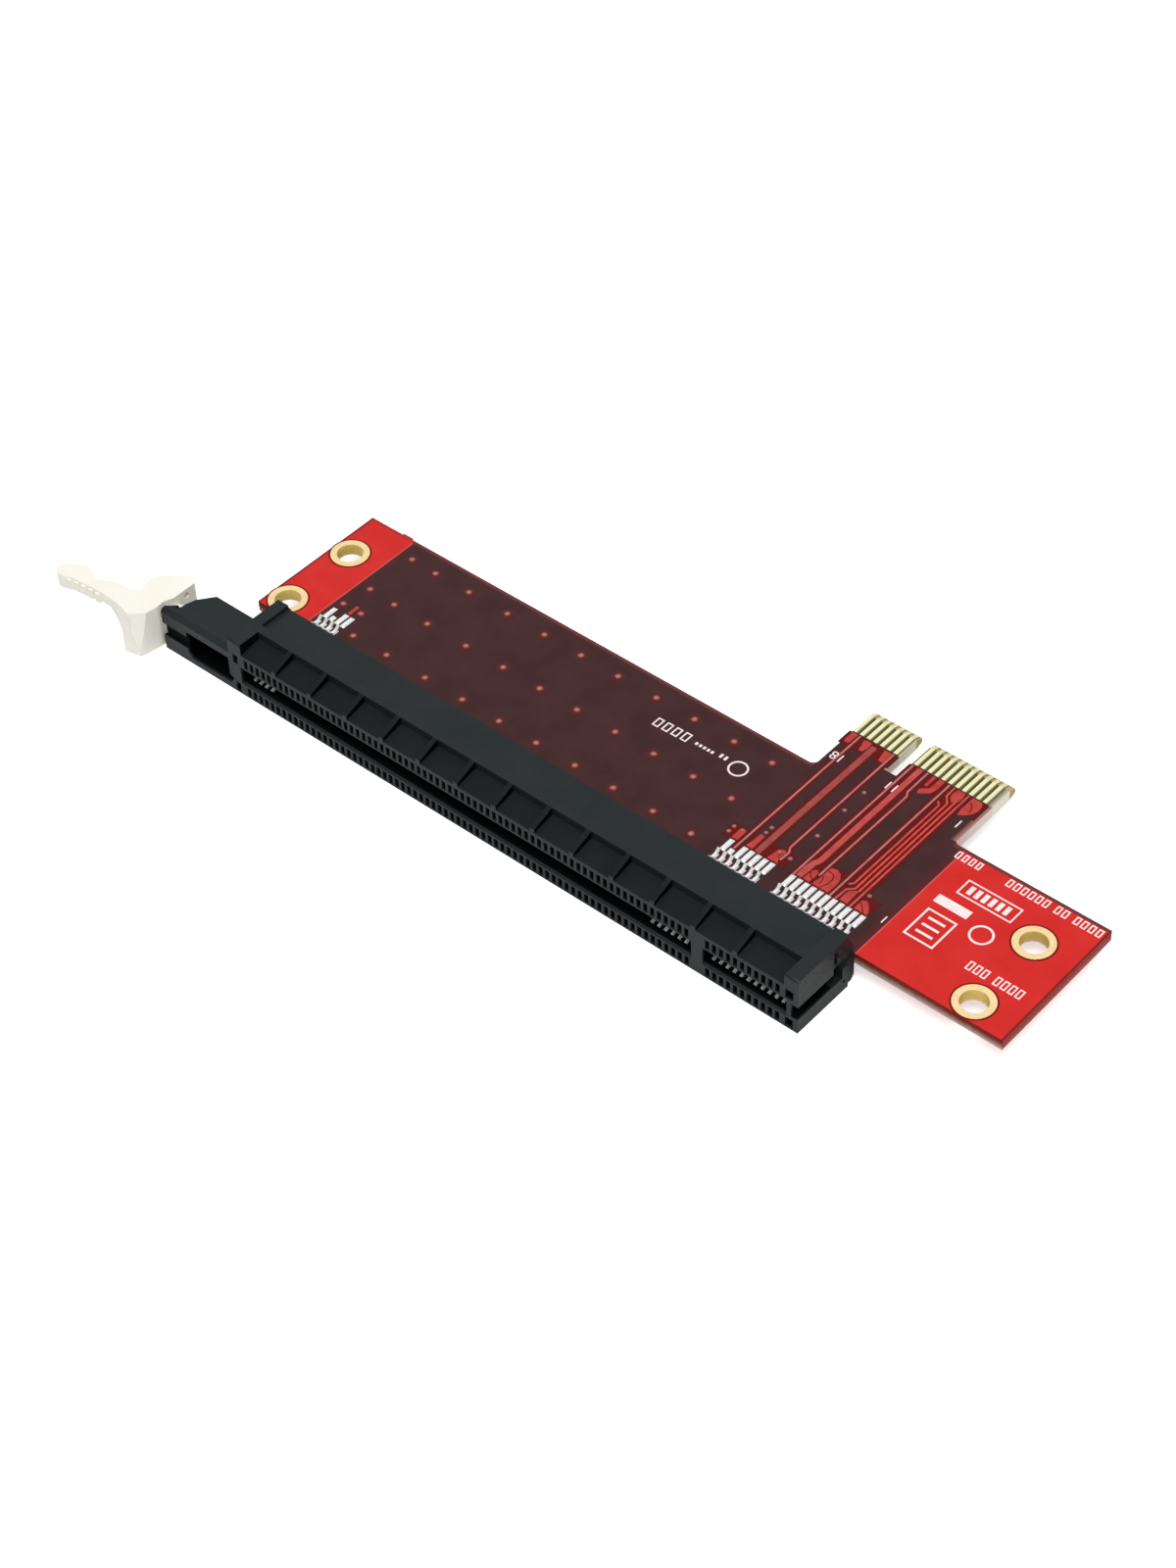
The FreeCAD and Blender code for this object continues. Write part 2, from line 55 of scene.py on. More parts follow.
# Conductors under the solder mask, as width and centre line: single lines, the close group on the right
# and the broad band on the left.
LINE_WIDTH = 0.3
BAND_WIDTH = 0.9
LINES = [
    (LINE_WIDTH, [(-6.57, 28.1), (-6.57, 4.1)]),
    (LINE_WIDTH, [(-1.6, 28.1), (-1.6, 8.3), (-1.2, 7.6), (-1.3, 6.0)]),
    (LINE_WIDTH, [(1.26, 28.1), (1.26, 5.2)]),
    (LINE_WIDTH, [(3.38, 28.1), (3.4, 24.1), (3.78, 23.4), (3.7, 9.0), (3.7, 6.9)]),
    (LINE_WIDTH, [(6.55, 28.1), (6.55, 5.2)]),
]
GROUP = [
    (LINE_WIDTH, [(7.3, 28.1), (7.35, 26.4), (8.15, 25.4), (8.15, 7.9), (7.4, 7.2), (7.3, 5.2)]),
    (LINE_WIDTH, [(7.1, 25.1), (7.55, 24.6), (7.55, 8.5), (7.1, 8.0)]),
    (LINE_WIDTH, [(8.75, 26.4), (8.75, 7.7)]),
    (LINE_WIDTH, [(9.35, 28.1), (9.35, 5.2)]),
]
BANDS = [(BAND_WIDTH, [(-4.12, 27.6), (-4.12, 5.3)])]
# Outlines of wider copper under the mask: the long strip, and the patches at the ends of the lines.
STRIPS = [
    [(2.0, 28.1), (2.75, 28.1), (2.75, 8.9), (2.65, 8.3), (2.4, 7.9), (2.45, 7.0), (2.3, 5.4),
     (1.55, 5.4), (1.5, 7.0), (1.7, 8.3), (2.0, 8.9)],
]
PATCHES = [
    [(4.15, 28.1), (4.62, 28.1), (4.62, 26.2), (4.2, 26.2)],
    [(5.1, 28.1), (5.85, 28.1), (5.85, 26.4), (5.55, 25.5), (4.9, 25.0), (4.45, 24.6), (4.2, 24.9),
     (4.15, 25.4), (4.55, 25.8), (5.05, 26.2)],
    [(7.8, 28.1), (8.85, 28.1), (9.05, 27.3), (9.0, 26.5), (8.7, 26.0), (8.3, 25.9), (7.8, 26.5),
     (7.65, 27.2)],
    [(9.95, 28.1), (11.2, 28.1), (11.6, 27.6), (11.7, 26.7), (11.4, 25.8), (10.8, 25.1), (10.1, 24.7),
     (9.9, 25.6)],
    [(-7.75, 28.1), (-6.95, 28.1), (-6.95, 26.5), (-7.1, 26.2), (-7.5, 26.2), (-7.75, 26.5)],
    [(-5.85, 27.8), (-5.3, 28.0), (-4.7, 27.9), (-4.65, 26.9), (-4.85, 26.1), (-5.4, 26.1), (-5.55, 27.0)],
    [(-2.9, 28.0), (-1.8, 28.0), (-1.8, 26.2), (-2.1, 26.0), (-2.5, 26.2), (-2.65, 27.0)],
    [(-7.95, 7.1), (-7.7, 7.35), (-7.3, 7.3), (-7.1, 7.0), (-7.1, 5.4), (-7.95, 5.4)],
    [(-5.6, 7.9), (-4.95, 7.9), (-4.85, 5.4), (-5.8, 5.4), (-5.65, 6.2)],
    [(-2.45, 7.2), (-1.9, 7.6), (-1.45, 7.5), (-1.5, 6.0), (-1.15, 5.4), (-2.7, 5.4), (-2.55, 6.2)],
    [(2.62, 7.0), (3.0, 7.5), (3.4, 7.2), (3.5, 6.5), (3.4, 5.4), (2.55, 5.4)],
    [(4.05, 8.7), (4.8, 8.95), (5.5, 8.6), (6.0, 7.9), (6.15, 6.8), (6.1, 5.4), (3.75, 5.4), (4.0, 6.6)],
    [(7.75, 7.2), (8.2, 7.5), (8.75, 7.8), (8.85, 5.4), (7.75, 5.4)],
    [(9.85, 6.9), (10.4, 7.2), (11.0, 6.7), (11.5, 6.0), (11.7, 5.4), (9.85, 5.4)],
    [(-69.75, 7.1), (-69.3, 7.1), (-69.25, 5.4), (-69.75, 5.4)],
]
# Deep red copper between the lines of the group.
BETWEEN = [[(7.45, 25.2), (8.0, 25.8), (9.3, 25.8), (9.3, 8.0), (7.9, 7.95), (7.45, 8.5)]]
# Etched lines between parts of one area, as width and centre line.
GAPS = [
    (0.2, [(4.1, 8.15), (4.9, 8.05), (5.3, 7.4), (5.25, 6.4), (4.85, 5.5)]),
    (0.16, [(4.1, 7.2), (4.45, 6.6), (4.5, 5.9)]),
    (0.18, [(2.4, 7.2), (2.9, 6.3), (3.7, 5.8), (4.0, 5.4)]),
    (0.18, [(9.9, 6.6), (10.5, 6.1), (11.1, 5.4)]),
    (0.2, [(10.2, 27.3), (10.6, 26.9), (10.9, 26.4), (10.9, 25.9)]),
    (0.16, [(-1.75, 7.0), (-1.8, 6.2)]),
]
# Dark red zones round groups of copper, as spans of X and Y, with their soft margin. None of them goes
# past the end of the mask on the tab.
SHADES = [
    (-7.7, -1.3, 26.2, 28.1), (1.5, 11.7, 25.6, 28.1), (-8.8, -7.2, 5.5, 7.1), (-5.6, -0.5, 5.5, 7.3),
    (1.1, 11.5, 5.4, 7.4), (4.0, 6.1, 7.0, 8.9), (1.6, 2.9, 5.5, 28.0), (7.2, 9.6, 5.5, 28.0),
]
SHADE_MARGIN = 0.5
LINE_SHADE_WIDTH = SHADE_MARGIN * 1.5
MASK_END_Y = 28.15
# Heights of the films on the board, as shares of the height of a conductor. Each zone lies a step above
# the one before it.
AREA_SHARE = 0.45
BETWEEN_SHARE = 0.42
ZONE_SHARE = 0.1
ZONE_STEP = 0.02
LINE_SHADE_SHARE = 0.34
GAP_SHARE = 0.6

# Screw holes, and the dark rim of the mask round each ring as inner and outer radius, with its height in
# metres.
HOLES = [(-77.5, 2.6), (-77.5, 13.9), (28.6, 2.6), (28.6, 13.9)]
RIM_RADII = (2.56, 2.78)
RIM_HEIGHT = 0.00001
# Filled vias: the grid, those beside it, and the small ones between the conductors.
VIA_COLUMNS = [-11.9, -17.7, -23.8, -29.8, -35.9, -41.9, -47.9, -54.1, -60.6, -66.3]
VIA_ROWS = [17.9, 10.25, 2.85]
VIA_EXTRA = [(-70.5, 18.0), (-70.7, 10.5), (-71.45, 6.4), (-68.4, 6.4)]
VIA_SMALL = [
    (-8.8, 6.95), (-8.8, 5.95), (-7.6, 7.0), (-5.25, 9.5), (-5.25, 8.45), (-0.45, 20.8), (-0.45, 17.05),
    (-0.35, 11.8), (-0.5, 6.95), (10.1, 8.0), (-2.1, 7.0),
]
SMALL_VIA_SHARE = 0.36

# Printed marks: bars and outlined boxes as X and Y of two corners, the boxes with their line width, and
# rings as centre, inner and outer radius.
BARS = (
    [(16.05, 11.95, 20.65, 13.3)]
    + [(17.2, y, 19.5, y + 0.35) for y in (7.0, 8.2, 9.4)]
    + [(18.2 + index, 15.2, 18.8 + index, 16.6) for index in range(6)]
    + [(-21.1 + 0.6 * index, 14.6, -20.75 + 0.6 * index, 15.05) for index in range(5)]
    + [(x, 14.7, x + 0.35, 15.4) for x in (-17.5, -16.8)]
)
BOXES = [(17.3, 14.6, 24.85, 17.2, 0.2), (16.3, 5.9, 20.4, 10.8, 0.25)]
CIRCLES = [(-14.4, 14.6, 1.05, 1.3), (23.4, 11.1, 1.22, 1.5)]
# Rows of small plain boxes: first X, number, width, step, first Y, height, line width and step in Y.
BOX_ROWS = [
    (13.8, 4, 0.62, 0.95, 19.0, 1.2, 0.18, 0.0),
    (20.9, 6, 0.7, 1.0, 19.0, 1.25, 0.18, 0.0),
    (27.5, 2, 0.7, 1.0, 19.0, 1.25, 0.18, 0.0),
    (30.1, 4, 0.7, 1.0, 19.0, 1.25, 0.18, 0.0),
    (24.8, 3, 0.72, 1.0, 5.9, 1.4, 0.18, 0.0),
    (28.5, 4, 0.72, 1.0, 5.9, 1.4, 0.18, 0.0),
    (-27.3, 4, 0.95, 1.4, 14.0, 1.5, 0.2, 0.05),
]
# Pin numbers: name of the piece, what it says, X, Y and size.
NUMBERS = [
    ("number_18", "18", -5.6, 24.2, 1.9), ("number_11", "11", 2.4, 24.2, 1.9),
    ("number_1", "1", 11.6, 24.2, 1.9), ("number_connector", "1", 14.0, 6.7, 1.7),
]

# Contacts in use, their raster, and the solder on their pads as half width and span of Y: the bar, which
# ends earlier on two pads, and the bead round the foot. The solder starts a little above the board.
LOADED = list(range(1, 19)) + list(range(79, 83))
PIN_ORIGIN_X = 12.5
LAST_BEFORE_KEY = 11
KEY_STEP = 2.0
SHORT_BARS = (17, 81)
SHORT_BAR_END = 3.9
BAR_HALF_WIDTH = 0.33
BAR_START, BAR_END = 3.02, 5.12
BEAD_HALF_WIDTH = 0.29
BEAD_START, BEAD_END = 1.32, 2.23
SOLDER_LOW = 0.00005

# Zones of painted shade in metres in the row frame, each a box of spans of X, Y and Z and its strength:
# the pockets in the housing top, the inside of slot and cavities, the end groove, the window and the
# groove of the lock block. The contacts get painted shade inside the housing, all but their tips.
HOUSING_PAINTED_SHADE = [
    (((-0.07226, 0.01241), (-0.04340, -0.04022), (0.0034, 0.0060)), 0.4),
    (((-0.07400, 0.01345), (-0.04315, -0.03450), (-0.00305, 0.00305)), 0.75),
    (((0.01344, 0.01420), (-0.04360, -0.03730), (-0.00102, 0.00102)), 0.75),
    (((-0.08230, -0.07400), (-0.04315, -0.03780), (-0.00240, 0.00190)), 0.75),
    (((-0.08660, -0.07460), (-0.04330, -0.04300), (-0.00102, 0.00102)), 0.7),
]
CONTACT_PAINTED_SHADE = [(((-0.08000, 0.02000), (-0.04160, -0.03450), (-0.00310, 0.00310)), 0.85)]
ZONE_SOFTNESS = 0.00002
# Darkest that the painted shade gets.
DARKEST_PAINTED_SHADE = 0.92

# Where the board's material changes, as spans in metres in the row frame: the ends of the red copper
# areas, the strip along the back edge, the sides, root and bare end of the tab, and its pale margins.
COPPER_BACK_END = (-0.0126, -0.0124)
COPPER_RIGHT_END = (0.0340, 0.0342)
COPPER_LEFT_END = (-0.0800, -0.0797)
BACK_STRIP = (-0.0127, -0.0123)
TAB_LEFT_SIDE = (-0.0081, -0.0079)
TAB_RIGHT_SIDE = (0.0126, 0.0128)
TAB_ROOT = (-0.0119, -0.0117)
TAB_BARE = (-0.0047, -0.0046)
TAB_BEVEL = (-0.00122, -0.00118)
RIGHT_MARGIN = (0.0118, 0.0126)
NOTCH_MARGIN = (-0.00125, -0.00095)
NOTCH_MIDDLE = (0.0, 0.0001)
NOTCH_BASE = (-0.0076, -0.0074)
BOARD_FACES = (-0.0008, 0.0008)
# How soft the borders of the copper areas are, how far their dark fringe and their border line reach, in
# metres, and how strong these are. The left area keeps a share of its red at the back and the left end.
COPPER_SOFTNESS = 0.00012
LEFT_FRINGE = 0.0007
RIGHT_FRINGE = 0.0014
FRINGE_STRENGTH = 0.8
BORDER_REACH = 0.00010
BORDER_STRENGTH = 0.45
LEFT_BACK_SHARE = 0.65
LEFT_END_SHARE = 0.25

# Spans of noise values, and of the size of a part of the surface direction, over which a look changes.
NOISE_SPAN = (0.3, 0.7)
DARK_MASK_SPAN = (0.35, 0.65)
TURN_SPAN = (0.5, 0.8)
# The barrel span sets where the painted shade on the ring barrels sets in.
BARREL_SHADE_SPAN = (0.4, 0.7)
# Shade along an edge finger: span over the raster step, and strength.
FINGER_SHADE_SPAN = (0.60, 0.72)
FINGER_SHADE_STRENGTH = 0.85

# Linear colours of the board beside those in its settings.
FRINGE = (0.11, 0.010, 0.012)
BACK_STRIP_TONE = (0.15, 0.034, 0.032)
BORDER_LINE = (0.85, 0.16, 0.16)
BARE_LAMINATE = (0.075, 0.066, 0.024)
MARGINS = ((0.42, 0.20, 0.16), (0.60, 0.55, 0.42))
TAB_WALL = (0.93, 0.78, 0.71)
BARE_WALL = (0.95, 0.91, 0.74)
BEVEL = ((0.42, 0.35, 0.13), (0.55, 0.46, 0.19))
# Layers of the board's side walls from the lower face, 0, to the upper face, 1, sawn and routed.
SAWN_LAYERS = [
    (0.0, (0.54, 0.43, 0.39)), (0.25, (0.42, 0.25, 0.22)), (0.5, (0.24, 0.085, 0.065)),
    (0.75, (0.17, 0.014, 0.008)), (1.0, (0.26, 0.018, 0.012)),
]
ROUTED_LAYERS = [
    (0.0, (0.38, 0.17, 0.14)), (0.25, (0.33, 0.080, 0.062)), (0.75, (0.36, 0.026, 0.018)),
    (1.0, (0.42, 0.028, 0.020)),
]
SHADE_TONES = ((0.135, 0.0055, 0.004), (0.050, 0.0165, 0.0145))
VIA_CORE = (0.50, 0.21, 0.20)
VIA_RING = ((0.048, 0.0165, 0.0165), (0.10, 0.009, 0.008))

# Fine edges: radius on board and rings, steps, smallest angle in degrees, and distance of joined corners.
BOARD_EDGE = 0.00005
RING_EDGE = 0.00003
EDGE_STEPS = 2
EDGE_ANGLE = 40
WELD_DISTANCE = 0.000001
# Sides of the rings and domes, steps of the solder, and the section of a conductor as shares of its half
# width and of its height.
RING_SIDES = 40
DOME_SIDES = 20
PILLOW_STEPS = 6
RIDGE_PROFILE = [(-1.0, 0.0), (-0.72, 0.8), (-0.3, 1.0), (0.3, 1.0), (0.72, 0.8), (1.0, 0.0)]

# Sockets of a colour mix node: the factor, the two colours and the result.
MIX_FACTOR, MIX_FIRST, MIX_SECOND, MIX_RESULT = 0, 6, 7, 2

# Stage, in metres: half size of the floor, the lights with place, size and share of the key power, the
# point that they aim at, and the sensor width in mm and clip distances of the camera.
FLOOR_REACH = 3.0
FLOOR_TONES = ((0.93, 0.93, 0.93), (0.95, 0.95, 0.95))
LIGHTS = [("key", (0.10, -0.20, 0.78), 0.6, 1.0), ("fill", (-0.55, 0.45, 0.6), 0.8, 0.12)]
LIGHT_AIM = (-0.02, -0.03, 0.0)
SENSOR_WIDTH = 36.0
CLIP_START, CLIP_END = 0.001, 50.0


def colour_setting(name, default):
    """Linear colour that a user can change."""
    return FloatVectorProperty(name=name, description=name + ", as a linear colour", default=default,
                               subtype="COLOR", min=0.0, max=1.0)


class BoardSettings(bpy.types.PropertyGroup):
    """Colours of the mask and the print, and measures of the films on the board"""
    red: colour_setting("Mask over copper", (0.59, 0.016, 0.013))
    red_cloud: colour_setting("Clouds over copper", (0.65, 0.024, 0.020))
    dark: colour_setting("Mask over laminate", (0.046, 0.0135, 0.015))
    dark_cloud: colour_setting("Clouds over laminate", (0.056, 0.018, 0.018))
    ink: colour_setting("Ink", (0.86, 0.70, 0.70))
    ink_cloud: colour_setting("Clouds in the ink", (0.95, 0.84, 0.83))
    mask_left: FloatProperty(
        name="Left copper edge", description="X where the bright copper area at the left ends",
        default=-0.0726, unit="LENGTH", precision=5)
    mask_right: FloatProperty(
        name="Right copper edge", description="X where the bright copper area at the right begins",
        default=0.0142, unit="LENGTH", precision=5)
    trace_height: FloatProperty(
        name="Conductor height", description="Rise of a conductor under the mask",
        default=0.00004, unit="LENGTH", precision=6)
    via_radius: FloatProperty(
        name="Via radius", description="Radius of the bright dome of a filled via",
        default=0.0003, unit="LENGTH", precision=6)
    halo_radius: FloatProperty(
        name="Via halo", description="Radius of the copper ring round a via",
        default=0.001, unit="LENGTH", precision=6)
    ink_height: FloatProperty(
        name="Ink height", description="Thickness of the printed marks",
        default=0.00002, unit="LENGTH", precision=6)


class ConnectorSettings(bpy.types.PropertyGroup):
    """Colours and edges of the moulded pieces"""
    housing: colour_setting("Housing", (0.011, 0.016, 0.017))
    housing_cloud: colour_setting("Clouds in the housing", (0.016, 0.021, 0.022))
    latch: colour_setting("Latch", (0.90, 0.87, 0.77))
    latch_cloud: colour_setting("Clouds in the latch", (0.93, 0.905, 0.82))
    edge_radius: FloatProperty(
        name="Edge radius", description="Softening of the moulded edges",
        default=0.00006, unit="LENGTH", precision=6)
    edge_steps: IntProperty(name="Edge steps", description="Segments across a softened edge", default=2)
    latch_radius: FloatProperty(
        name="Latch edge radius", description="Softening of the latch edges",
        default=0.00012, unit="LENGTH", precision=6)
    soften: BoolProperty(name="Soften edges", description="Round the moulded edges", default=True)


class SolderSettings(bpy.types.PropertyGroup):
    """Heights of the solder"""
    bar_height: FloatProperty(
        name="Bar height", description="Height of the solder on a pad",
        default=0.00016, unit="LENGTH", precision=6)
    bead_height: FloatProperty(
        name="Bead height", description="Height of the solder round a contact foot",
        default=0.0003, unit="LENGTH", precision=6)


class StageSettings(bpy.types.PropertyGroup):
    """Camera, floor and light"""
    camera_place: FloatVectorProperty(
        name="Camera place", description="Camera position in the row frame",
        default=(0.15339, -0.22636, 0.26349), subtype="TRANSLATION", precision=5)
    camera_turn: FloatVectorProperty(
        name="Camera turn", description="Camera rotation",
        default=(0.789794, 0.031372, 0.714247), subtype="EULER", precision=5)
    lens: FloatProperty(name="Lens", description="Focal length of the camera", default=72.72, unit="CAMERA")
    floor_z: FloatProperty(
        name="Floor height", description="Height of the floor",
        default=-0.00326, unit="LENGTH", precision=5)
    floor_glow: FloatProperty(
        name="Floor glow", description="Whiteness that the camera sees added to the floor", default=0.6)
    world_strength: FloatProperty(
        name="Sky strength", description="Strength of the even white light", default=0.35)
    key_power: FloatProperty(
        name="Key power", description="Power of the large key light", default=5.6, unit="POWER")


def shader_of(material):
    """Surface shader of a material."""
    return material.node_tree.nodes["Principled BSDF"]


def new_material(name):
    """New node material; gives it with its tree and its surface shader."""
    material = bpy.data.materials.new(name)
    material.use_nodes = True
    return material, material.node_tree, shader_of(material)


def feed(tree, socket, value):
    """Sets a socket to a number or a colour, or links another socket to it."""
    if isinstance(value, (int, float)):
        socket.default_value = value
    elif isinstance(value, (tuple, Color)):
        socket.default_value = (*value, 1.0)
    else:
        tree.links.new(value, socket)


def node(tree, kind, **inputs):
    """Adds a node and feeds the named inputs."""
    made = tree.nodes.new(kind)
    for key, value in inputs.items():
        feed(tree, made.inputs[key.replace("_", " ")], value)
    return made


def math_node(tree, operation, first, second=0.0):
    """Math node on two values or sockets; gives its output."""
    made = tree.nodes.new("ShaderNodeMath")
    made.operation = operation
    for socket, value in zip(made.inputs, (first, second)):
        feed(tree, socket, value)
    return made.outputs[0]


def product(tree, first, *others):
    """Product of values or sockets."""
    for other in others:
        first = math_node(tree, "MULTIPLY", first, other)
    return first


def larger(tree, first, second):
    """The larger of two values or sockets."""
    return math_node(tree, "MAXIMUM", first, second)


def close_to(tree, value, place, reach):
    """1 where a value is within reach of a place, or else 0."""
    made = math_node(tree, "COMPARE", value, place)
    made.node.inputs[2].default_value = reach
    return made


def mix_colour(tree, factor, first, second):
    """Colour mix of two colours or sockets by a factor socket or value."""
    made = tree.nodes.new("ShaderNodeMix")
    made.data_type = "RGBA"
    made.blend_type = "MIX"
    for index, value in ((MIX_FACTOR, factor), (MIX_FIRST, first), (MIX_SECOND, second)):
        feed(tree, made.inputs[index], value)
    return made.outputs[MIX_RESULT]


def object_place(tree):
    """Place on the object, as a socket."""
    return tree.nodes.new("ShaderNodeTexCoord").outputs["Object"]


def split_axes(tree, vector):
    """X, Y and Z sockets of a vector socket."""
    split = tree.nodes.new("ShaderNodeSeparateXYZ")
    tree.links.new(vector, split.inputs[0])
    return split.outputs


def facing(tree, axis):
    """Size of the part of the surface direction along axis "X", "Y" or "Z"."""
    geometry = tree.nodes.new("ShaderNodeNewGeometry")
    return math_node(tree, "ABSOLUTE", split_axes(tree, geometry.outputs["Normal"])[axis])


def noise(tree, place, scale, detail=3.0):
    """Noise value at a place."""
    return node(tree, "ShaderNodeTexNoise", Vector=place, Scale=scale, Detail=detail).outputs["Fac"]


def ramp(tree, value, span, first, second):
    """Value mapped from a span to another one, clamped."""
    made = node(tree, "ShaderNodeMapRange", Value=value, From_Min=span[0], From_Max=span[1],
                To_Min=first, To_Max=second)
    return made.outputs["Result"]


def rising(tree, value, span):
    """0 before a span of a value and 1 behind it."""
    return ramp(tree, value, span, 0.0, 1.0)


def falling(tree, value, span):
    """1 before a span of a value and 0 behind it."""
    return ramp(tree, value, span, 1.0, 0.0)


def around(place, reach):
    """Span that reaches as far to both sides of a place."""
    return place - reach, place + reach


def spread(tree, value, first=0.0, second=1.0):
    """Noise value spread from a first to a second value."""
    return ramp(tree, value, NOISE_SPAN, first, second)


def colour_steps(tree, value, stops):
    """Colour that passes through given stops, in rising order, as a value goes from 0 to 1."""
    made = tree.nodes.new("ShaderNodeValToRGB")
    elements = made.color_ramp.elements
    for index, (place, colour) in enumerate(stops):
        stop = elements[index] if index < len(elements) else elements.new(place)
        stop.position = place
        stop.color = colour + (1.0,)
    tree.links.new(value, made.inputs[0])
    return made.outputs["Color"]


def painted_shade(tree, place, zones):
    """Painted shade at a place: the strength of the zone, a box of spans of X, Y and Z, that it lies in."""
    axes = split_axes(tree, place)
    total = 0.0
    for spans, strength in zones:
        inside = strength
        for axis, (low, high) in zip(axes, spans):
            inside = product(tree, inside, rising(tree, axis, around(low, ZONE_SOFTNESS)),
                             falling(tree, axis, around(high, ZONE_SOFTNESS)))
        total = larger(tree, total, inside)
    return total


def rim_value(tree, drift):
    """Rim value of the vertices, made uneven by a drift to both sides."""
    value = tree.nodes.new("ShaderNodeAttribute")
    value.attribute_name = RIM
    uneven = spread(tree, noise(tree, object_place(tree), scale=2200.0), -drift, drift)
    return math_node(tree, "ADD", value.outputs["Fac"], uneven)


def bump(tree, shader, value, distance, strength):
    """Surface relief from a value."""
    made = node(tree, "ShaderNodeBump", Height=value, Strength=strength, Distance=distance)
    tree.links.new(made.outputs["Normal"], shader.inputs["Normal"])


def set_surface(tree, shader, colour, roughness, specular):
    """Colour, roughness and specular level of a shader, as values or sockets."""
    feed(tree, shader.inputs["Base Color"], colour)
    feed(tree, shader.inputs["Roughness"], roughness)
    feed(tree, shader.inputs["Specular IOR Level"], specular)


def tint(material, factor, colour):
    """Mixes a colour over the one that the shader of a material already has."""
    tree = material.node_tree
    target = shader_of(material).inputs["Base Color"]
    tree.links.new(mix_colour(tree, factor, target.links[0].from_socket, colour), target)


def mask_colour(tree, settings, x, y, cloud):
    """Solder mask: red over the copper areas at the left and right, and dark between them."""
    left = falling(tree, x, around(settings.mask_left, COPPER_SOFTNESS))
    right = rising(tree, x, around(settings.mask_right, COPPER_SOFTNESS))
    before_back = falling(tree, y, COPPER_BACK_END)
    copper = product(tree, larger(tree, left, right),
                     larger(tree, before_back, product(tree, left, LEFT_BACK_SHARE)),
                     falling(tree, x, COPPER_RIGHT_END),
                     ramp(tree, x, COPPER_LEFT_END, LEFT_END_SHARE, 1.0))
    fringe = larger(tree, falling(tree, x, (settings.mask_left, settings.mask_left + LEFT_FRINGE)),
                    rising(tree, x, (settings.mask_right - RIGHT_FRINGE, settings.mask_right)))
    dark = mix_colour(tree, rising(tree, cloud, DARK_MASK_SPAN), settings.dark, settings.dark_cloud)
    dark = mix_colour(tree, product(tree, fringe, FRINGE_STRENGTH), dark, FRINGE)
    beside_tab = larger(tree, falling(tree, x, TAB_LEFT_SIDE), rising(tree, x, TAB_RIGHT_SIDE))
    near_back = product(tree, rising(tree, y, BACK_STRIP), beside_tab)
    dark = mix_colour(tree, near_back, dark, BACK_STRIP_TONE)
    red = mix_colour(tree, spread(tree, cloud), settings.red, settings.red_cloud)
    colour = mix_colour(tree, copper, dark, red)
    border = larger(tree, close_to(tree, x, settings.mask_left, BORDER_REACH),
                    close_to(tree, x, settings.mask_right, BORDER_REACH))
    return mix_colour(tree, product(tree, border, before_back, BORDER_STRENGTH), colour, BORDER_LINE)


def wall_colour(tree, z, grain, on_tab, bare):
    """Layers of the board's side walls, routed where they face along X, and pale on the tab."""
    height = math_node(tree, "ADD", rising(tree, z, BOARD_FACES), spread(tree, grain, -0.05, 0.05))
    colour = mix_colour(tree, rising(tree, facing(tree, "X"), TURN_SPAN),
                        colour_steps(tree, height, SAWN_LAYERS), colour_steps(tree, height, ROUTED_LAYERS))
    colour = mix_colour(tree, on_tab, colour, TAB_WALL)
    return mix_colour(tree, bare, colour, BARE_WALL)


def board_material(settings):
    """Solder mask with laminate side walls, and the bare end, pale margins and bevel of the tab."""
    material, tree, shader = new_material("board_mask")
    place = object_place(tree)
    x, y, z = split_axes(tree, place)
    cloud = noise(tree, place, scale=260.0)
    grain = noise(tree, place, scale=1500.0)
    on_tab = rising(tree, y, TAB_ROOT)
    bare = rising(tree, y, TAB_BARE)
    colour = mix_colour(tree, bare, mask_colour(tree, settings, x, y, cloud), BARE_LAMINATE)
    by_notch = product(tree, rising(tree, x, NOTCH_MARGIN), falling(tree, x, NOTCH_MIDDLE),
                       rising(tree, y, NOTCH_BASE))
    margin = product(tree, larger(tree, rising(tree, x, RIGHT_MARGIN), by_notch), on_tab)
    colour = mix_colour(tree, margin, colour, mix_colour(tree, bare, *MARGINS))
    wall = falling(tree, facing(tree, "Z"), TURN_SPAN)
    colour = mix_colour(tree, wall, colour, wall_colour(tree, z, grain, on_tab, bare))
    bevel = mix_colour(tree, grain, *BEVEL)
    set_surface(tree, shader, mix_colour(tree, rising(tree, y, TAB_BEVEL), colour, bevel),
                roughness=spread(tree, grain, 0.34, 0.44), specular=ramp(tree, wall, (0.0, 1.0), 0.16, 0.03))
    bump(tree, shader, cloud, distance=0.00004, strength=0.25)
    return material


def rim_material(name, tones):
    """Mask colour that turns from an inner to an outer tone with the rim value of the vertices."""
    material, tree, shader = new_material(name)
    part = rising(tree, rim_value(tree, 0.06), (0.0, 1.0))
    set_surface(tree, shader, mix_colour(tree, part, *tones), roughness=0.4, specular=0.08)
    return material


def via_material(settings):
    """Mask over a filled via: a bright core in a dark ring that fades outwards."""
    material, tree, shader = new_material("via_mask")
    value = rim_value(tree, 0.04)
    share = settings.via_radius / settings.halo_radius
    ring = mix_colour(tree, falling(tree, value, (0.5, 1.0)), *VIA_RING)
    core = falling(tree, value, (share * 0.2, share * 1.6))
    set_surface(tree, shader, mix_colour(tree, core, ring, VIA_CORE), roughness=0.38, specular=0.16)
    return material


def coated_material(name, first, second, roughness, specular):
    """Thin coat, such as mask over raised copper or print, with slight colour drift."""
    material, tree, shader = new_material(name)
    place = object_place(tree)
    colour = mix_colour(tree, spread(tree, noise(tree, place, scale=900.0)), first, second)
    set_surface(tree, shader, colour, roughness, specular)
    bump(tree, shader, noise(tree, place, scale=4000.0), distance=0.00001, strength=0.2)
    return material


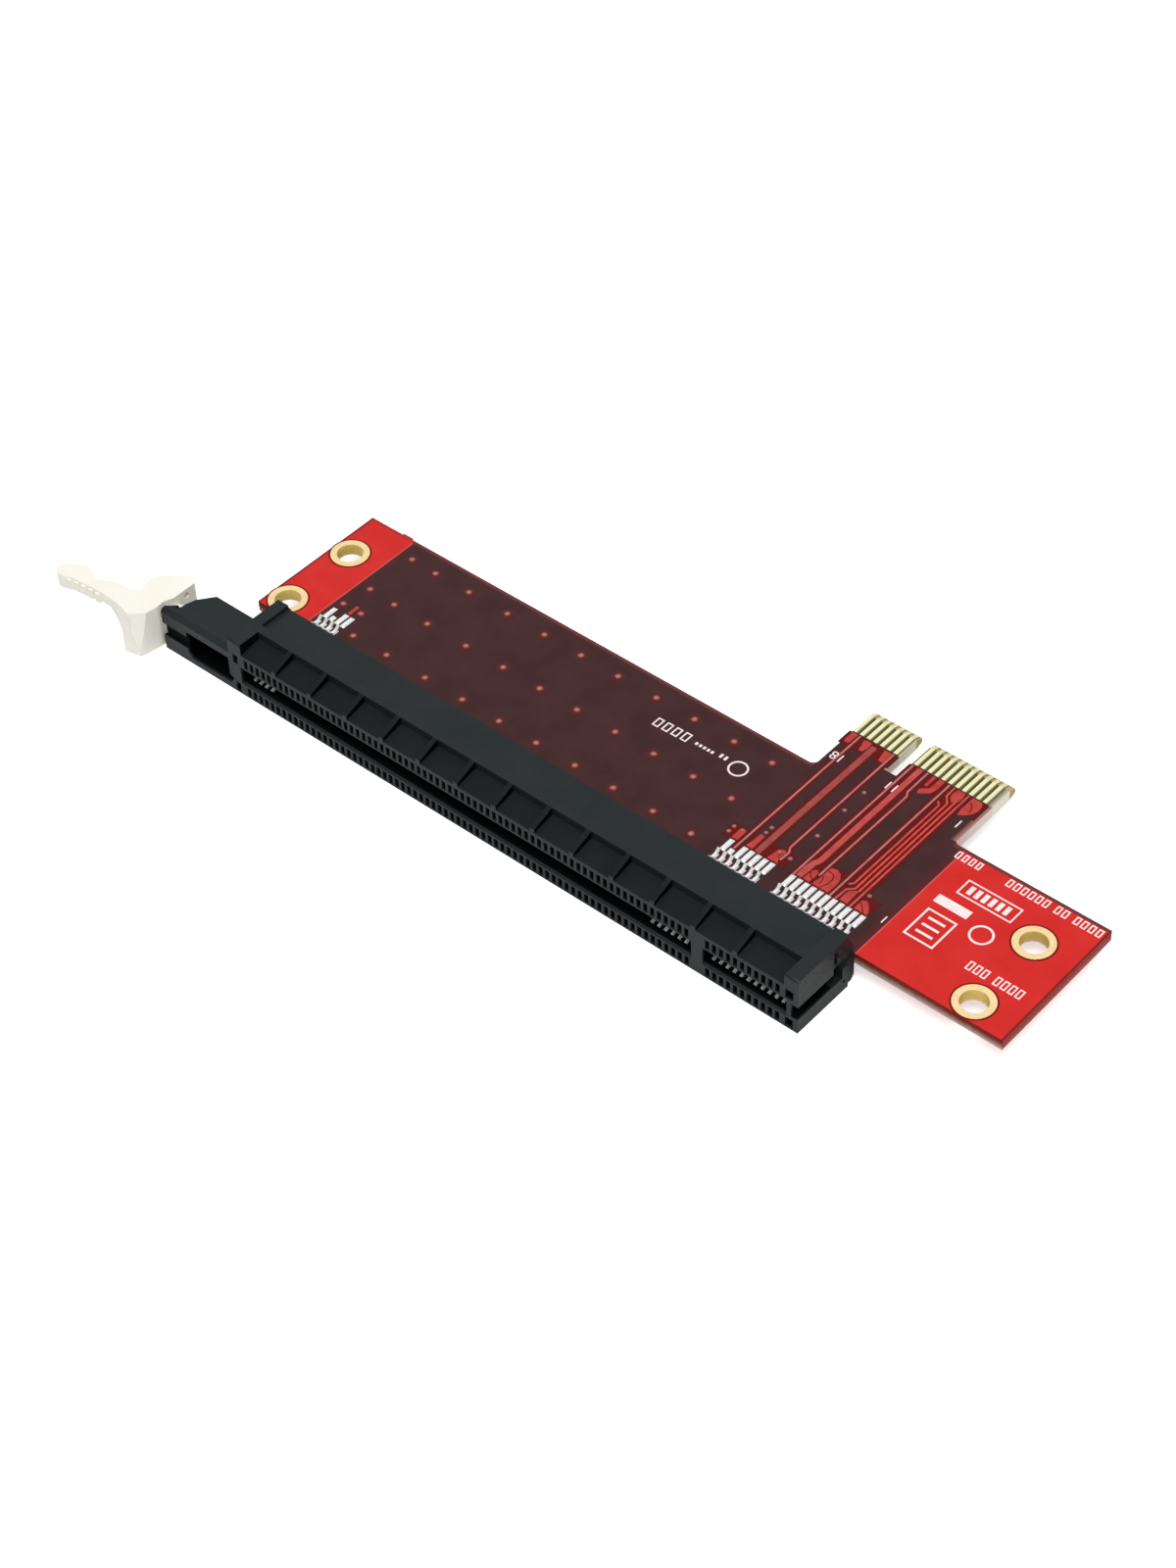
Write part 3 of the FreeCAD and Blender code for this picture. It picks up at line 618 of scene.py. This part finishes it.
def metal_material(name, first, second, roughness, metallic, scale=1600.0, zones=()):
    """Plated metal with fine unevenness in tone and gloss, and painted shade that darkens it inside the
    zones.
    """
    material, tree, shader = new_material(name)
    place = object_place(tree)
    drift = noise(tree, place, scale)
    colour = mix_colour(tree, spread(tree, drift), first, second)
    if zones:
        # Painted shade: the colour is drawn towards black inside the zones.
        colour = mix_colour(tree, painted_shade(tree, place, zones), colour, BLACK)
    feed(tree, shader.inputs["Base Color"], colour)
    feed(tree, shader.inputs["Metallic"], metallic)
    feed(tree, shader.inputs["Roughness"], spread(tree, drift, roughness * 0.8, roughness * 1.25))
    bump(tree, shader, noise(tree, place, scale * 3), distance=0.00001, strength=0.25)
    return material


def ring_material():
    """Gold of the screw hole rings, with painted shade, a deeper gold, on the barrel inside the hole."""
    material = metal_material("ring_plating", (0.95, 0.68, 0.34), (1.0, 0.77, 0.42),
                              roughness=0.36, metallic=0.25)
    tree = material.node_tree
    # Painted shade: faces that turn away from Z, the barrel, get a deeper, darker gold.
    tint(material, falling(tree, facing(tree, "Z"), BARREL_SHADE_SPAN), (0.86, 0.69, 0.21))
    return material


def finger_material():
    """Gold of the edge fingers, with the shade that falls along the right side of each one."""
    material = metal_material("finger_plating", (0.95, 0.89, 0.49), (1.0, 0.96, 0.61),
                              roughness=0.34, metallic=0.35)
    tree = material.node_tree
    x = split_axes(tree, object_place(tree))["X"]
    across = math_node(tree, "FRACT", math_node(tree, "DIVIDE", x, MM))
    shaded = ramp(tree, across, FINGER_SHADE_SPAN, 0.0, FINGER_SHADE_STRENGTH)
    tint(material, shaded, (0.09, 0.07, 0.02))
    return material


def plastic_material(name, first, second, roughness, grain_scale, relief, specular, zones=()):
    """Moulded plastic with a fine grain and a faint cloudiness, painted shade and duller gloss in the zones.
    """
    material, tree, shader = new_material(name)
    place = object_place(tree)
    grain = noise(tree, place, grain_scale, detail=6.0)
    colour = mix_colour(tree, spread(tree, noise(tree, place, scale=180.0)), first, second)
    gloss = spread(tree, grain, *around(roughness, 0.06))
    if zones:
        # Painted shade inside the zones, up to twice as strong on walls that face along X.
        x_walls_darker = ramp(tree, facing(tree, "X"), TURN_SPAN, 1.0, 2.0)
        painted_dark = math_node(tree, "MINIMUM", product(tree, painted_shade(tree, place, zones), x_walls_darker), DARKEST_PAINTED_SHADE)
        colour = mix_colour(tree, painted_dark, colour, BLACK)
        gloss = math_node(tree, "ADD", gloss, product(tree, painted_dark, 0.4))
        specular = ramp(tree, painted_dark, (0.0, 0.8), specular, 0.0)
    set_surface(tree, shader, colour, gloss, specular)
    bump(tree, shader, grain, distance=relief, strength=0.5)
    return material


def floor_material(glow):
    """White paper that looks brighter to the camera than it lights the object."""
    material, tree, shader = new_material("floor_paper")
    tone = mix_colour(tree, noise(tree, object_place(tree), scale=30.0), *FLOOR_TONES)
    set_surface(tree, shader, tone, roughness=0.9, specular=0.1)
    rays = tree.nodes.new("ShaderNodeLightPath")
    feed(tree, shader.inputs["Emission Color"], WHITE)
    feed(tree, shader.inputs["Emission Strength"], product(tree, rays.outputs["Is Camera Ray"], glow))
    return material


def set_material(item, material):
    """The only material of an object."""
    item.data.materials.clear()
    item.data.materials.append(material)


def soften(item, radius, steps):
    """Joins split corners and rounds the edges of a CAD node by modifiers."""
    weld = item.modifiers.new("weld", "WELD")
    weld.merge_threshold = WELD_DISTANCE
    bevel = item.modifiers.new("bevel", "BEVEL")
    bevel.width = radius
    bevel.segments = steps
    bevel.limit_method = "ANGLE"
    bevel.angle_limit = math.radians(EDGE_ANGLE)
    bevel.harden_normals = True


def add_mesh(name, build, material, body):
    """New object from a function that fills a bmesh, riding on a body."""
    mesh = bpy.data.meshes.new(name)
    form = bmesh.new()
    build(form)
    form.to_mesh(mesh)
    form.free()
    item = bpy.data.objects.new(name, mesh)
    bpy.context.scene.collection.objects.link(item)
    mesh.materials.append(material)
    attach(item, body)
    return item


def on_board(x, y, rise):
    """Point above the upper board face, X and Y as in the plan tables and the rise in metres."""
    return Vector((x * MM, (y + BOARD_FRONT_Y) * MM, BOARD_TOP_Z * MM + rise))


def add_plate(form, points, high):
    """Upright prism on a plan outline, from the board face upwards."""
    bottom = [form.verts.new(on_board(x, y, 0.0)) for x, y in points]
    top = [form.verts.new(on_board(x, y, high)) for x, y in points]
    form.faces.new(top)
    form.faces.new(bottom[::-1])
    for index in range(len(points)):
        after = (index + 1) % len(points)
        form.faces.new((bottom[index], bottom[after], top[after], top[index]))


def add_bar(form, x0, y0, x1, y1, high):
    """Plate over a rectangle."""
    add_plate(form, [(x0, y0), (x1, y0), (x1, y1), (x0, y1)], high)


def add_box(form, x0, y0, x1, y1, line, high):
    """Outline of a rectangle, from four bars as wide as the line."""
    for corners in [(x0, y0, x1, y0 + line), (x0, y1 - line, x1, y1),
                    (x0, y0 + line, x0 + line, y1 - line), (x1 - line, y0 + line, x1, y1 - line)]:
        add_bar(form, *corners, high)


def add_annulus(form, x, y, inner, outer, high):
    """Flat ring round a plan place."""
    for side in range(RING_SIDES):
        a = 2 * math.pi * side / RING_SIDES
        b = 2 * math.pi * (side + 1) / RING_SIDES
        corners = ((inner, a), (outer, a), (outer, b), (inner, b))
        add_plate(form, [(x + radius * math.cos(turn), y + radius * math.sin(turn))
                         for radius, turn in corners], high)


def sides_of(points, half):
    """Left and right rail points of a path, mitred."""
    rails = []
    for index, (x, y) in enumerate(points):
        before = Vector(points[max(index - 1, 0)])
        after = Vector(points[min(index + 1, len(points) - 1)])
        here = Vector((x, y))
        steps = [v.normalized() for v in (here - before, after - here) if v.length > 0]
        heading = sum(steps, Vector((0, 0))).normalized()
        across = Vector((-heading.y, heading.x)) * half
        rails.append((here + across, here - across))
    return rails


def add_ridge(form, points, width, rise, layer=None):
    """Low rounded strip along a plan path; a rim value, if wanted, grows from the middle to the edges."""
    rows = []
    for left, right in sides_of(points, width / 2):
        centre = (left + right) / 2
        across = (left - right) / 2
        row = []
        for side, height in RIDGE_PROFILE:
            vertex = form.verts.new(on_board(*(centre + across * side), rise * height))
            if layer is not None:
                vertex[layer] = 1.0 - height
            row.append(vertex)
        rows.append(row)
    join_rows(form, rows, smooth=True)


def join_rows(form, rows, smooth):
    """Faces between neighbouring rows of vertices."""
    for first, second in zip(rows[:-1], rows[1:]):
        for index in range(len(first) - 1):
            face = form.faces.new((first[index], second[index], second[index + 1], first[index + 1]))
            face.smooth = smooth


def add_shade(form, span, rise, layer):
    """Flat zone over a span of X and Y whose rim value grows from its border outwards."""
    x0, x1, y0, y1 = span
    xs = (x0 - SHADE_MARGIN, x0, x1, x1 + SHADE_MARGIN)
    ys = (y0 - SHADE_MARGIN, y0, y1, y1 + SHADE_MARGIN)
    rows = []
    for i, x in enumerate(xs):
        row = []
        for j, y in enumerate(ys):
            inner = i in (1, 2) and j in (1, 2)
            vertex = form.verts.new(on_board(x, min(y, MASK_END_Y), rise if inner else rise / 2))
            vertex[layer] = 0.0 if inner else 1.0
            row.append(vertex)
        rows.append(row)
    join_rows(form, rows, smooth=False)


def add_dome(form, x, y, radius, rise, low, layer, edge, rings):
    """Shallow dome whose rim value, which grows from 0 at the top to the edge's, is on its vertices."""
    top = form.verts.new(on_board(x, y, low + rise))
    top[layer] = 0.0
    previous = None
    for ring in range(1, rings + 1):
        part = ring / rings
        height = low + rise * (1 - part * part)
        circle = []
        for side in range(DOME_SIDES):
            turn = 2 * math.pi * side / DOME_SIDES
            vertex = form.verts.new(on_board(x + radius * part * math.cos(turn),
                                             y + radius * part * math.sin(turn), height))
            vertex[layer] = part * edge
            circle.append(vertex)
        for side in range(DOME_SIDES):
            after = (side + 1) % DOME_SIDES
            if previous is None:
                face = form.faces.new((top, circle[side], circle[after]))
            else:
                face = form.faces.new((previous[side], circle[side], circle[after], previous[after]))
            face.smooth = True
        previous = circle


def add_pillow(form, x, half_width, y0, y1, rise):
    """Rounded bead of solder over a rectangle, drawn in a little at its two ends."""
    rows = []
    for i in range(PILLOW_STEPS + 1):
        u = -1 + 2 * i / PILLOW_STEPS
        row = []
        for j in range(2 * PILLOW_STEPS + 1):
            v = -1 + j / PILLOW_STEPS
            height = max(0.0, (1 - abs(u) ** 3) * (1 - abs(v) ** 8)) ** 0.5
            drawn_in = 1 - 0.06 * abs(v) ** 6
            row.append(form.verts.new(on_board(x + half_width * u * drawn_in,
                                               (y0 + y1) / 2 + (y1 - y0) / 2 * v,
                                               SOLDER_LOW + rise * height)))
        rows.append(row)
    join_rows(form, rows, smooth=True)


def pin_x(number):
    """X of a contact in mm, one for each number, with a wider step at the key."""
    return PIN_ORIGIN_X - number - (KEY_STEP if number > LAST_BEFORE_KEY else 0.0)


class ADAPTER_OT_board(bpy.types.Operator):
    """Solder mask and laminate of the circuit board"""
    bl_idname = "adapter.board"
    bl_label = "Circuit board"

    def execute(self, context):
        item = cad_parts["circuit_board"]
        set_material(item, board_material(context.scene.adapter_board))
        soften(item, BOARD_EDGE, EDGE_STEPS)
        return {"FINISHED"}


class ADAPTER_OT_conductors(bpy.types.Operator):
    """Conductors and copper areas under the solder mask"""
    bl_idname = "adapter.conductors"
    bl_label = "Conductors"

    def execute(self, context):
        rise = context.scene.adapter_board.trace_height
        line = coated_material("mask_on_line", (0.40, 0.115, 0.11), (0.50, 0.195, 0.185),
                               roughness=0.35, specular=0.4)
        group = coated_material("mask_on_group", (0.44, 0.062, 0.050), (0.53, 0.105, 0.085),
                                roughness=0.35, specular=0.3)
        band = coated_material("mask_on_band", (0.30, 0.048, 0.040), (0.37, 0.068, 0.058),
                               roughness=0.4, specular=0.25)
        strip = coated_material("mask_on_strip", (0.43, 0.050, 0.045), (0.53, 0.082, 0.073),
                                roughness=0.4, specular=0.25)
        area = coated_material("mask_on_area", (0.41, 0.032, 0.028), (0.52, 0.056, 0.048),
                               roughness=0.4, specular=0.2)
        between = coated_material("mask_between_lines", (0.19, 0.002, 0.001), (0.24, 0.004, 0.002),
                                  roughness=0.4, specular=0.04)
        shade = rim_material("mask_shade", SHADE_TONES)

        def ridges(form):
            for width, points in paths:
                add_ridge(form, points, width, rise)

        def plates(form):
            for points in outlines:
                add_plate(form, points, rise * share)

        def shades(form):
            layer = form.verts.layers.float.new(RIM)
            for index, span in enumerate(SHADES):
                add_shade(form, span, rise * (ZONE_SHARE + ZONE_STEP * index), layer)
            for width, points in LINES + GROUP + BANDS:
                add_ridge(form, points, width + LINE_SHADE_WIDTH, rise * LINE_SHADE_SHARE, layer)

        def gaps(form):
            form.verts.layers.float.new(RIM)
            for width, points in GAPS:
                add_ridge(form, points, width, rise * GAP_SHARE)

        for name, paths, material in (("conductors", LINES, line), ("conductor_group", GROUP, group),
                                      ("conductor_band", BANDS, band)):
            add_mesh(name, ridges, material, CARRIER)
        for name, outlines, material, share in (("copper_strip", STRIPS, strip, AREA_SHARE),
                                                ("copper_areas", PATCHES, area, AREA_SHARE),
                                                ("copper_between", BETWEEN, between, BETWEEN_SHARE)):
            add_mesh(name, plates, material, CARRIER)
        add_mesh("copper_shades", shades, shade, CARRIER)
        add_mesh("etched_lines", gaps, shade, CARRIER)
        return {"FINISHED"}


class ADAPTER_OT_vias(bpy.types.Operator):
    """Filled vias with their copper rings"""
    bl_idname = "adapter.vias"
    bl_label = "Vias"

    def execute(self, context):
        settings = context.scene.adapter_board
        halo = settings.halo_radius / MM
        places = [(x, y) for x in VIA_COLUMNS for y in VIA_ROWS] + VIA_EXTRA

        def build(form):
            layer = form.verts.layers.float.new(RIM)
            for x, y in places:
                add_dome(form, x, y, halo, rise=0.00003, low=0.000002, layer=layer, edge=1.0, rings=6)
            for x, y in VIA_SMALL:
                add_dome(form, x, y, halo * SMALL_VIA_SHARE, rise=0.00004, low=0.000004, layer=layer,
                         edge=0.5, rings=4)

        add_mesh("vias", build, via_material(settings), CARRIER)
        return {"FINISHED"}


class ADAPTER_OT_marks(bpy.types.Operator):
    """Plain printed marks: pin numbers, bars, circles and outlined boxes"""
    bl_idname = "adapter.marks"
    bl_label = "Printed marks"

    def execute(self, context):
        settings = context.scene.adapter_board
        ink = coated_material("print_ink", settings.ink, settings.ink_cloud, roughness=0.6, specular=0.3)
        high = settings.ink_height

        def build(form):
            for corners in BARS:
                add_bar(form, *corners, high)
            for box in BOXES:
                add_box(form, *box, high)
            for start, count, width, step, low, tall, line, climb in BOX_ROWS:
                for index in range(count):
                    x = start + index * step
                    y = low + index * climb
                    add_box(form, x, y, x + width, y + tall, line, high)
            for circle in CIRCLES:
                add_annulus(form, *circle, high)

        add_mesh("printed_marks", build, ink, CARRIER)
        for name, body, x, y, size in NUMBERS:
            curve = bpy.data.curves.new(name, "FONT")
            curve.body = body
            curve.size = size * MM
            curve.extrude = high
            item = bpy.data.objects.new(name, curve)
            item.location = on_board(x, y, high)
            item.rotation_euler = (0, 0, math.pi)
            context.scene.collection.objects.link(item)
            curve.materials.append(ink)
            context.view_layer.update()
            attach(item, CARRIER)
        return {"FINISHED"}


class ADAPTER_OT_gold(bpy.types.Operator):
    """Gold plating of the screw hole rings and the edge fingers"""
    bl_idname = "adapter.gold"
    bl_label = "Gold plating"

    def execute(self, context):
        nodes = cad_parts
        set_material(nodes["screw_hole_rings"], ring_material())
        soften(nodes["screw_hole_rings"], RING_EDGE, EDGE_STEPS)
        finger = finger_material()
        for name in ("edge_fingers_top", "edge_fingers_bottom"):
            set_material(nodes[name], finger)

        def rims(form):
            for x, y in HOLES:
                add_annulus(form, x, y, *RIM_RADII, RIM_HEIGHT)

        rim = coated_material("mask_rim", (0.14, 0.010, 0.004), (0.20, 0.014, 0.006),
                              roughness=0.5, specular=0.05)
        add_mesh("mask_rims", rims, rim, CARRIER)
        return {"FINISHED"}


class ADAPTER_OT_solder(bpy.types.Operator):
    """Solder on the pads, with a bead round each contact foot"""
    bl_idname = "adapter.solder"
    bl_label = "Solder"

    def execute(self, context):
        settings = context.scene.adapter_solder
        tin = metal_material("solder_tin", (0.86, 0.86, 0.86), (0.95, 0.95, 0.95),
                             roughness=0.3, metallic=0.25, scale=2500.0)
        for name in ("solder_pads_top", "solder_pads_bottom"):
            set_material(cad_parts[name], tin)

        def build(form):
            for number in LOADED:
                x = pin_x(number)
                end = SHORT_BAR_END if number in SHORT_BARS else BAR_END
                add_pillow(form, x, BAR_HALF_WIDTH, BAR_START, end, settings.bar_height)
                add_pillow(form, x, BEAD_HALF_WIDTH, BEAD_START, BEAD_END, settings.bead_height)

        add_mesh("solder_joints", build, tin, CARRIER)
        return {"FINISHED"}


class ADAPTER_OT_contacts(bpy.types.Operator):
    """Sprung contacts of the connector"""
    bl_idname = "adapter.contacts"
    bl_label = "Contacts"

    def execute(self, context):
        # The contacts get painted shade inside the housing, all but their tips.
        plate = metal_material("contact_plating", (0.88, 0.88, 0.87), (0.96, 0.96, 0.95),
                               roughness=0.25, metallic=0.35, scale=3000.0, zones=CONTACT_PAINTED_SHADE)
        for number in LOADED:
            for row in ("top", "bottom"):
                set_material(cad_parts["contact_%s_%02d" % (row, number)], plate)
        return {"FINISHED"}


class ADAPTER_OT_housing(bpy.types.Operator):
    """Moulded connector housing"""
    bl_idname = "adapter.housing"
    bl_label = "Housing"

    def execute(self, context):
        settings = context.scene.adapter_connector
        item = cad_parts["connector_housing"]
        # Painted shade darkens the pockets, slot, cavities, end groove, window and lock groove.
        plastic = plastic_material("housing_plastic", settings.housing, settings.housing_cloud,
                                   roughness=0.42, grain_scale=2600.0, relief=0.00003, specular=0.2,
                                   zones=HOUSING_PAINTED_SHADE)
        set_material(item, plastic)
        if settings.soften:
            soften(item, settings.edge_radius, settings.edge_steps)
        return {"FINISHED"}


class ADAPTER_OT_latch(bpy.types.Operator):
    """Ivory latch at the end of the connector"""
    bl_idname = "adapter.latch"
    bl_label = "Latch"

    def execute(self, context):
        settings = context.scene.adapter_connector
        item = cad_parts["latch"]
        plastic = plastic_material("latch_plastic", settings.latch, settings.latch_cloud,
                                   roughness=0.45, grain_scale=1800.0, relief=0.00002, specular=0.3)
        set_material(item, plastic)
        if settings.soften:
            soften(item, settings.latch_radius, settings.edge_steps)
        return {"FINISHED"}


class ADAPTER_OT_stage(bpy.types.Operator):
    """Pale floor, soft lights and the camera"""
    bl_idname = "adapter.stage"
    bl_label = "Stage"

    def execute(self, context):
        settings = context.scene.adapter_stage
        scene = context.scene
        mesh = bpy.data.meshes.new("floor")
        corners = [(-FLOOR_REACH, -FLOOR_REACH), (FLOOR_REACH, -FLOOR_REACH),
                   (FLOOR_REACH, FLOOR_REACH), (-FLOOR_REACH, FLOOR_REACH)]
        mesh.from_pydata([(x, y, settings.floor_z) for x, y in corners], [], [(0, 1, 2, 3)])
        mesh.materials.append(floor_material(settings.floor_glow))
        floor = bpy.data.objects.new("floor", mesh)
        scene.collection.objects.link(floor)
        world = bpy.data.worlds.new("studio")
        world.use_nodes = True
        back = world.node_tree.nodes["Background"]
        feed(world.node_tree, back.inputs["Color"], WHITE)
        feed(world.node_tree, back.inputs["Strength"], settings.world_strength)
        scene.world = world
        for name, place, size, share in LIGHTS:
            light = bpy.data.lights.new(name, "AREA")
            light.size = size
            light.energy = settings.key_power * share
            lamp = bpy.data.objects.new(name, light)
            lamp.location = place
            aim = Vector(LIGHT_AIM) - Vector(place)
            lamp.rotation_euler = aim.to_track_quat("-Z", "Y").to_euler()
            scene.collection.objects.link(lamp)
        lens = bpy.data.cameras.new("camera")
        lens.lens = settings.lens
        lens.sensor_width = SENSOR_WIDTH
        lens.clip_start = CLIP_START
        lens.clip_end = CLIP_END
        camera = bpy.data.objects.new("camera", lens)
        camera.location = settings.camera_place
        camera.rotation_euler = Euler(settings.camera_turn)
        scene.collection.objects.link(camera)
        scene.camera = camera
        scene.view_settings.view_transform = "Standard"
        return {"FINISHED"}


class ADAPTER_PT_panel(bpy.types.Panel):
    """Settings and operators of the model"""
    bl_idname = "ADAPTER_PT_panel"
    bl_label = "Slot adapter"
    bl_space_type = "VIEW_3D"
    bl_region_type = "UI"
    bl_category = "Slot adapter"

    def draw(self, context):
        for group in GROUPS:
            settings = getattr(context.scene, group)
            section = self.layout.box()
            for name in settings.__annotations__:
                section.prop(settings, name)
        for operator in OPERATORS:
            self.layout.operator(operator.bl_idname)


GROUPS = {
    "adapter_board": BoardSettings,
    "adapter_connector": ConnectorSettings,
    "adapter_solder": SolderSettings,
    "adapter_stage": StageSettings,
}
OPERATORS = (ADAPTER_OT_board, ADAPTER_OT_conductors, ADAPTER_OT_vias, ADAPTER_OT_marks, ADAPTER_OT_gold,
             ADAPTER_OT_solder, ADAPTER_OT_contacts, ADAPTER_OT_housing, ADAPTER_OT_latch, ADAPTER_OT_stage)


def register():
    """Registers the classes and the settings on the scene."""
    for item in tuple(GROUPS.values()) + OPERATORS + (ADAPTER_PT_panel,):
        bpy.utils.register_class(item)
    for name, group in GROUPS.items():
        setattr(bpy.types.Scene, name, PointerProperty(type=group))


def unregister():
    """Takes the settings and the classes away."""
    for name in GROUPS:
        delattr(bpy.types.Scene, name)
    for item in (ADAPTER_PT_panel,) + OPERATORS[::-1] + tuple(GROUPS.values()):
        bpy.utils.unregister_class(item)


def main():
    """Builds the whole model."""
    register()
    bpy.ops.adapter.board()
    bpy.ops.adapter.conductors()
    bpy.ops.adapter.vias()
    bpy.ops.adapter.marks()
    bpy.ops.adapter.gold()
    bpy.ops.adapter.solder()
    bpy.ops.adapter.contacts()
    bpy.ops.adapter.housing()
    bpy.ops.adapter.latch()
    bpy.ops.adapter.stage()


if __name__ == "__main__":
    main()
